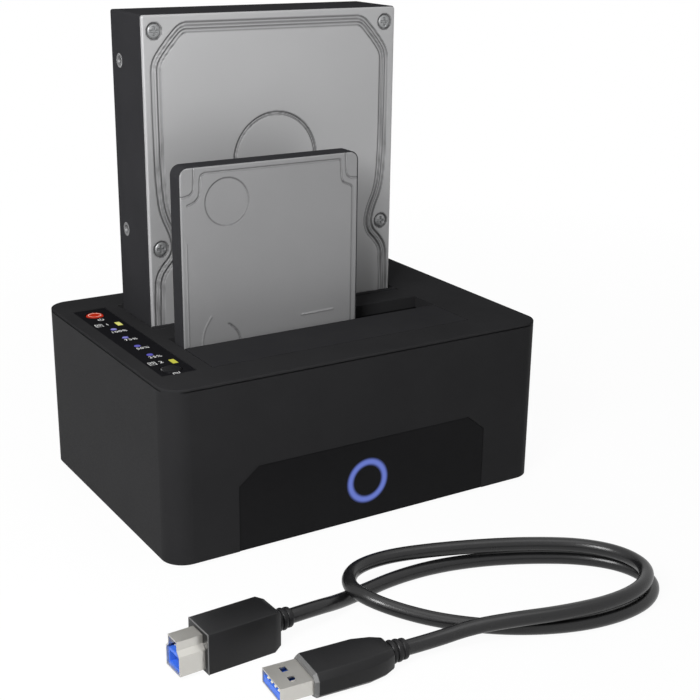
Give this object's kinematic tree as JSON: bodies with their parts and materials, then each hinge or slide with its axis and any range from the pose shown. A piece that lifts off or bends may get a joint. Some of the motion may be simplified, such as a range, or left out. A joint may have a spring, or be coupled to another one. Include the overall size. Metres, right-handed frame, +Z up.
{
  "type": "drive duplicator",
  "caption": "Upright docking and cloning station holding a large and a small disk drive, with spring flaps, control strip, light ring and a loose data cable.",
  "frame": {"origin": "on the table under the middle of the dock's outline", "axes": "+X to the right along the front, +Y to the back, +Z up"},
  "size_m": [0.1746, 0.2082, 0.17],
  "materials": {
    "case_plastic": "satin moulded",
    "deck_plastic": "satin moulded",
    "window_plastic": "polished",
    "ring_light": "lit translucent",
    "panel_film": "smooth film",
    "power_key": "lit translucent",
    "clone_key": "satin moulded",
    "blue_light": "lit translucent",
    "yellow_light": "lit translucent",
    "light_chip": "moulded",
    "flap_plastic": "satin moulded",
    "chute_plastic": "moulded",
    "socket_plastic": "moulded",
    "foot_rubber": "matte",
    "screw_steel": "zinc plated",
    "spring_steel": "drawn wire",
    "board_laminate": "solder mask",
    "chip_resin": "moulded",
    "can_aluminium": "satin",
    "nickel_shell": "nickel plated",
    "usb_blue": "moulded",
    "contact_gold": "gold plated",
    "casting_metal": "black coated casting",
    "large_lid_metal": "satin pressed sheet",
    "small_lid_metal": "satin pressed sheet",
    "grip_pvc": "moulded",
    "cable_pvc": "satin"
  },
  "bodies": {
    "dock": {"housing_shell": "case_plastic", "top_cover": "deck_plastic", "base_plate": "case_plastic", "rubber_feet": "foot_rubber", "case_screws": "screw_steel", "front_window": "window_plastic", "light_ring": "ring_light", "ring_light_board": "board_laminate", "control_panel": "panel_film", "power_switch": "socket_plastic", "clone_switch": "socket_plastic", "progress_light_pipes": "blue_light", "source_light_pipe": "yellow_light", "target_light_pipe": "yellow_light", "status_lights": "light_chip", "control_board": "board_laminate", "source_hinge_pin": "screw_steel", "target_hinge_pin": "screw_steel", "source_flap_spring": "spring_steel", "target_flap_spring": "spring_steel", "source_chute": "chute_plastic", "target_chute": "chute_plastic", "source_drive_socket": "socket_plastic", "target_drive_socket": "socket_plastic", "main_board": "board_laminate", "board_screws": "screw_steel", "bridge_chips": "chip_resin", "capacitors": "can_aluminium", "usb_socket_shell": "nickel_shell", "usb_socket_tongue": "usb_blue", "power_jack": "socket_plastic", "power_jack_pin": "nickel_shell", "square_plug_relief": "grip_pvc", "square_plug_moulding": "grip_pvc", "square_plug_shell": "nickel_shell", "square_plug_core": "usb_blue", "flat_plug_relief": "grip_pvc", "flat_plug_moulding": "grip_pvc", "flat_plug_shell": "nickel_shell", "flat_plug_core": "usb_blue", "flat_plug_contacts": "contact_gold", "usb_cable": "cable_pvc"},
    "power_button": {"power_button": "power_key", "power_plunger": "socket_plastic"},
    "clone_button": {"clone_button": "clone_key", "clone_plunger": "socket_plastic"},
    "source_flap": {"source_flap": "flap_plastic"},
    "target_flap": {"target_flap": "flap_plastic"},
    "large_drive": {"large_drive_casting": "casting_metal", "large_drive_cover": "large_lid_metal", "large_drive_screws": "screw_steel", "large_drive_board": "board_laminate", "large_drive_plug": "socket_plastic"},
    "small_drive": {"small_drive_casting": "casting_metal", "small_drive_cover": "small_lid_metal", "small_drive_board": "board_laminate", "small_drive_plug": "socket_plastic"}
  },
  "joints": [
    {"name": "power_button_press", "type": "slide", "parent": "dock", "child": "power_button", "axis": [0, 0, -1], "range_m": [0, 0.0005], "stiffness_N_per_m": 600, "springref_m": -0.0005},
    {"name": "clone_button_press", "type": "slide", "parent": "dock", "child": "clone_button", "axis": [0, 0, -1], "range_m": [0, 0.0005], "stiffness_N_per_m": 600, "springref_m": -0.0005},
    {"name": "source_flap_hinge", "type": "hinge", "parent": "dock", "child": "source_flap", "pos_m": [0, 0.0076, 0.0603], "axis": [-1, 0, 0], "range_deg": [0, 6], "stiffness_Nm_per_rad": 0.002, "springref_deg": -57.3},
    {"name": "target_flap_hinge", "type": "hinge", "parent": "dock", "child": "target_flap", "pos_m": [0, -0.038, 0.0603], "axis": [-1, 0, 0], "range_deg": [0, 85], "stiffness_Nm_per_rad": 0.002, "springref_deg": -57.3},
    {"name": "large_drive_lift", "type": "slide", "parent": "dock", "child": "large_drive", "axis": [0, 0, 1], "range_m": [0, 0.06]},
    {"name": "small_drive_lift", "type": "slide", "parent": "dock", "child": "small_drive", "axis": [0, 0, 1], "range_m": [0, 0.06]}
  ]
}
